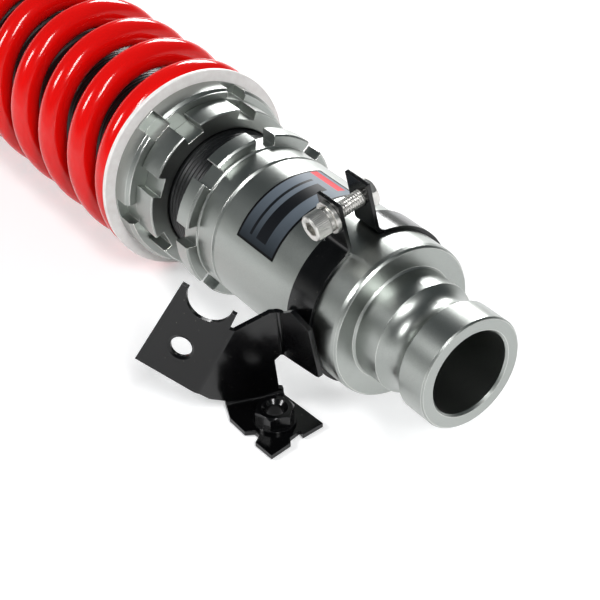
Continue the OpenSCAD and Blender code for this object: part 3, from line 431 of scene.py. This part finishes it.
# How much of the stroke each place takes: none on the first turn, all of it on the last.
active = sum_of(spring_tree, "DIVIDE", sum_of(spring_tree, "SUBTRACT", wound, 1.0),
                sum_of(spring_tree, "SUBTRACT", turns, 2.0))
active = add(spring_tree, "ShaderNodeClamp", {0: active}).outputs[0]
noted = add(spring_tree, "GeometryNodeStoreNamedAttribute", {"Geometry": laid.outputs[0], "Name": "stroke_share",
                                                             "Value": active}, data_type="FLOAT", domain="POINT")
path = add(spring_tree, "GeometryNodeMeshToCurve", {0: noted.outputs[0]})
wire = add(spring_tree, "GeometryNodeCurvePrimitiveCircle", {"Resolution": given.outputs["Sides"],
                                                             "Radius": given.outputs["Wire radius"]})
rod = add(spring_tree, "GeometryNodeCurveToMesh", {"Curve": path.outputs[0], "Profile Curve": wire.outputs[0],
                                                   "Fill Caps": True})
# Both ends are ground flat on their seats.
spot = add(spring_tree, "ShaderNodeSeparateXYZ", {0: add(spring_tree, "GeometryNodeInputPosition").outputs[0]})
ground = sum_of(spring_tree, "MINIMUM", spot.outputs[0], given.outputs["Seat"])
ground = sum_of(spring_tree, "MAXIMUM", ground,
                sum_of(spring_tree, "SUBTRACT", given.outputs["Seat"], given.outputs["Length"]))
ground = add(spring_tree, "ShaderNodeCombineXYZ", {0: ground, 1: spot.outputs[1], 2: spot.outputs[2]})
flat_ends = add(spring_tree, "GeometryNodeSetPosition", {"Geometry": rod.outputs[0],
                                                         "Position": ground.outputs[0]})
smooth = add(spring_tree, "GeometryNodeSetShadeSmooth", {0: flat_ends.outputs[0]})
real = add(spring_tree, "GeometryNodeRealizeInstances", {0: smooth.outputs[0]})
coated = add(spring_tree, "GeometryNodeSetMaterial", {"Geometry": real.outputs[0],
                                                      "Material": given.outputs["Material"]})
add(spring_tree, "NodeGroupOutput", {0: coated.outputs[0]})

red_powder = bpy.data.materials.new("gloss_red_powder_coat")
red_powder.use_nodes = True
nt = red_powder.node_tree
nt.nodes.clear()
place = add(nt, "ShaderNodeTexCoord").outputs["Object"]
peel = add(nt, "ShaderNodeTexNoise", {"Vector": place, "Scale": 420, "Detail": 1.0}).outputs[0]
cloud = add(nt, "ShaderNodeTexNoise", {"Vector": place, "Scale": 35, "Detail": 2.0}).outputs[0]
red = add(nt, "ShaderNodeMix", {0: cloud, 6: paint("DE0A08"), 7: paint("EC120E")}, data_type="RGBA").outputs[2]
rough = add(nt, "ShaderNodeMapRange", {"Value": peel, "To Min": 0.1, "To Max": 0.16}).outputs[0]
bump = add(nt, "ShaderNodeBump", {"Strength": 0.12, "Distance": 0.00005, "Height": peel})
skin = add(nt, "ShaderNodeBsdfPrincipled", {"Base Color": red, "Roughness": rough, "Normal": bump.outputs[0],
                                            "Specular IOR Level": 0.45})
add(nt, "ShaderNodeOutputMaterial", {"Surface": skin.outputs[0]})

spring = bpy.data.objects.new("coil_spring", bpy.data.meshes.new("coil_spring"))
bpy.context.collection.objects.link(spring)
grow(spring, spring_tree, Material=red_powder)
low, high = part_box("main_spring")
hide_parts("main_spring")
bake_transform(spring)
stroke_share = [0.0] * len(spring.data.vertices)
spring.data.attributes["stroke_share"].data.foreach_get("value", stroke_share)

# ---- Rod, bump stop and dust sleeve ----------------------------------------------------------
# The rod is ground and hard chromed. The bump stop is a cell-foam spring of three lobes, and the
# sleeve is moulded in black polypropylene.


def plain(name, colour_low, colour_high, scale, rough_low, rough_high, metallic=0.0, bump_depth=0.0, bevel=0.0003):
    """A finish whose colour and roughness vary with one grain."""
    material = bpy.data.materials.new(name)
    material.use_nodes = True
    nt = material.node_tree
    nt.nodes.clear()
    place = add(nt, "ShaderNodeTexCoord").outputs["Object"]
    grain = add(nt, "ShaderNodeTexNoise", {"Vector": place, "Scale": scale, "Detail": 3.0}).outputs[0]
    tone = add(nt, "ShaderNodeMapRange", {"Value": grain, "From Min": 0.35, "From Max": 0.65}).outputs[0]
    colour = add(nt, "ShaderNodeMix", {0: tone, 6: paint(colour_low), 7: paint(colour_high)},
                 data_type="RGBA").outputs[2]
    rough = add(nt, "ShaderNodeMapRange", {"Value": grain, "To Min": rough_low, "To Max": rough_high}).outputs[0]
    rounded = add(nt, "ShaderNodeBevel", {"Radius": bevel}, samples=4)
    bump = add(nt, "ShaderNodeBump", {"Strength": 0.3, "Distance": bump_depth, "Height": grain,
                                      "Normal": rounded.outputs[0]})
    skin = add(nt, "ShaderNodeBsdfPrincipled", {"Base Color": colour, "Metallic": metallic, "Roughness": rough,
                                                "Normal": bump.outputs[0]})
    add(nt, "ShaderNodeOutputMaterial", {"Surface": skin.outputs[0]})
    return material


hard_chrome = plain("hard_chrome", "DDDFE0", "E6E8E9", 700, 0.05, 0.1, 1.0)
give(hard_chrome, "piston_rod")
seal_rubber = plain("nitrile_rubber", "18181A", "232325", 900, 0.5, 0.65, 0.0, 0.00002)
give(seal_rubber, "floating_piston_seal", "piston_band", "topout_bumper", "guide_seal", "rod_seal", "rod_wiper")
white_nylon = plain("white_nylon", "F4EEEC", "FCF8F6", 300, 0.35, 0.45, 0.0, 0.00001)
give(white_nylon, "spring_isolator")
sleeve_black = plain("moulded_polypropylene", "131415", "1D1E20", 500, 0.38, 0.5, 0.0, 0.00002)
give(sleeve_black, "dust_sleeve")

# The bump stop's lobes bulge where the foam folds as it is squeezed, and its skin is full of pores.
cell_foam = plain("cell_foam", "2C2C2E", "424245", 2200, 0.75, 0.95, 0.0, 0.0002)
low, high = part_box("bump_stop")
foam_l = high.x - low.x
foam_outline = [(low.x + 0.0002, 0.0122)]
for i in range(61):
    share = i / 60
    lobe = 0.5 - 0.5 * math.cos(2 * math.pi * 2.5 * share)
    swell = 0.64 + 0.3 * (1 - share) + 0.08 * lobe - 0.02
    foam_outline.append((low.x + 0.0003 + (foam_l - 0.0006) * share, high.z * min(swell, 0.985)))
foam_outline.append((high.x - 0.0002, 0.0122))
foam = turned("bump_foam", foam_outline, 64)
foam.data.materials.append(cell_foam)
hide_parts("bump_stop")
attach(foam, "rod")

# ---- Top mount -------------------------------------------------------------------------------
# A black anodised plate carries a hardened ball joint on its race. The studs and nuts are zinc
# plated steel, and the damping knob is red anodised aluminium.

black_plate = plain("black_anodised_plate", "121314", "1E1F21", 3000, 0.32, 0.42, 0.6, 0.00002)
give(black_plate, "top_mount_plate")
bearing_steel = plain("ground_bearing_steel", "B4B7B9", "C6C8CA", 600, 0.14, 0.24, 1.0)
give(bearing_steel, "pillow_ball", "bearing_race", "race_snap_ring", "guide_snap_ring", "piston_shims",
     "adjuster_needle")
zinc_plate = plain("zinc_plated_steel", "B4B6B3", "BEC0BD", 420, 0.3, 0.36, 1.0, 0.000001)
give(zinc_plate, "mount_studs", "rod_nut", "lower_collar", "upper_collar", "gas_fill_plug", "piston_nut")
red_anodised = plain("red_anodised_aluminium", "B0141A", "C71C22", 900, 0.25, 0.36, 1.0, 0.00001)
give(red_anodised, "damping_knob")

# ---- Clamp and hose bracket ------------------------------------------------------------------
# The band and the bracket are pressed from sheet steel and dipped in gloss black enamel, which
# rounds the cut edges and catches dust. The screw, its washers and its nut are stainless steel.

stainless = plain("stainless_steel", "D2D0CC", "DEDCD8", 500, 0.26, 0.34, 1.0, 0.000001)
give(stainless, "clamp_washer", "clamp_spring_washer", "clamp_nut")

# The M6 cap screw crosses the gap between the band's ears, with its head on the bracket's side.
# Its 1 mm thread shows in the gap; the head has a knurled wall and a 5 mm hexagon socket.
SCREW_AT = Vector((-0.0555, -0.01052, 0.04221))
SCREW_WAY = Vector((0, -0.9703, -0.2419)).normalized()
SOCKET = 0.005
KNURLS = 48


def socket_wall(turn):
    """Radius of the hexagon socket's wall at this turn round the screw."""
    return SOCKET / 2 / math.cos(turn % (math.pi / 3) - math.pi / 6)


def knurled_wall(turn):
    """Radius of the head's knurled wall at this turn: a ridge, then a groove."""
    return 0.00496 - 0.00014 * (round(turn / math.pi * KNURLS) % 2)


screw_outline = [(-0.01015, 0.0), (-0.01015, 0.0026), (-0.0098, 0.00296)]
screw_outline += [(x, 0.00296) for x in steps(-0.0096, 0.0099, 0.00012)]
screw_outline += [(0.01016, 0.00296), (0.01016, 0.0047), (0.01035, knurled_wall), (0.0157, knurled_wall),
                  (0.01614, 0.0045), (0.01614, 0.0031), (0.0159, socket_wall), (0.01265, socket_wall),
                  (0.01215, 0.0)]
screw = turned("cap_screw", screw_outline, 2 * KNURLS)
grow(screw, thread_tree, Pitch=0.001, Depth=0.00055, From=-0.0099, To=0.0099, Fade=0.0006, Material=stainless,
     **{"Core radius": 0.0029})
screw.data.transform(Matrix.Translation(SCREW_AT) @ SCREW_WAY.to_track_quat("X", "Z").to_matrix().to_4x4())
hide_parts("clamp_screw")
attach(screw, "lower_mount")

black_enamel = bpy.data.materials.new("gloss_black_enamel")
black_enamel.use_nodes = True
nt = black_enamel.node_tree
nt.nodes.clear()
place = add(nt, "ShaderNodeTexCoord").outputs["Object"]
corner, edge_glint_mask = edge_share(nt, 0.0003)
peel = add(nt, "ShaderNodeTexNoise", {"Vector": place, "Scale": 350, "Detail": 1.5}).outputs[0]
specks = add(nt, "ShaderNodeTexVoronoi", {"Vector": place, "Scale": 900})
dust = add(nt, "ShaderNodeMath", {0: specks.outputs["Distance"], 1: 0.09}, operation="LESS_THAN").outputs[0]
rare = add(nt, "ShaderNodeSeparateXYZ", {0: specks.outputs["Color"]}).outputs[0]
rare = add(nt, "ShaderNodeMath", {0: rare, 1: 0.9}, operation="GREATER_THAN").outputs[0]
dust = both(nt, dust, rare)
# The edges are painted a lighter black: a painted highlight along each edge.
black = add(nt, "ShaderNodeMix", {0: edge_glint_mask, 6: paint("060607"), 7: paint("17171A")}, data_type="RGBA").outputs[2]
black = add(nt, "ShaderNodeMix", {0: dust, 6: black, 7: paint("8A8478")}, data_type="RGBA").outputs[2]
rough = add(nt, "ShaderNodeMapRange", {"Value": peel, "To Min": 0.12, "To Max": 0.22}).outputs[0]
bump = add(nt, "ShaderNodeBump", {"Strength": 0.2, "Distance": 0.00008, "Height": peel, "Normal": corner})
skin = add(nt, "ShaderNodeBsdfPrincipled", {"Base Color": black, "Roughness": rough, "Normal": bump.outputs[0],
                                            "Specular IOR Level": 0.4})
add(nt, "ShaderNodeOutputMaterial", {"Surface": skin.outputs[0]})
give(black_enamel, "clamp_band", "hose_bracket", "bracket_weld_nut")
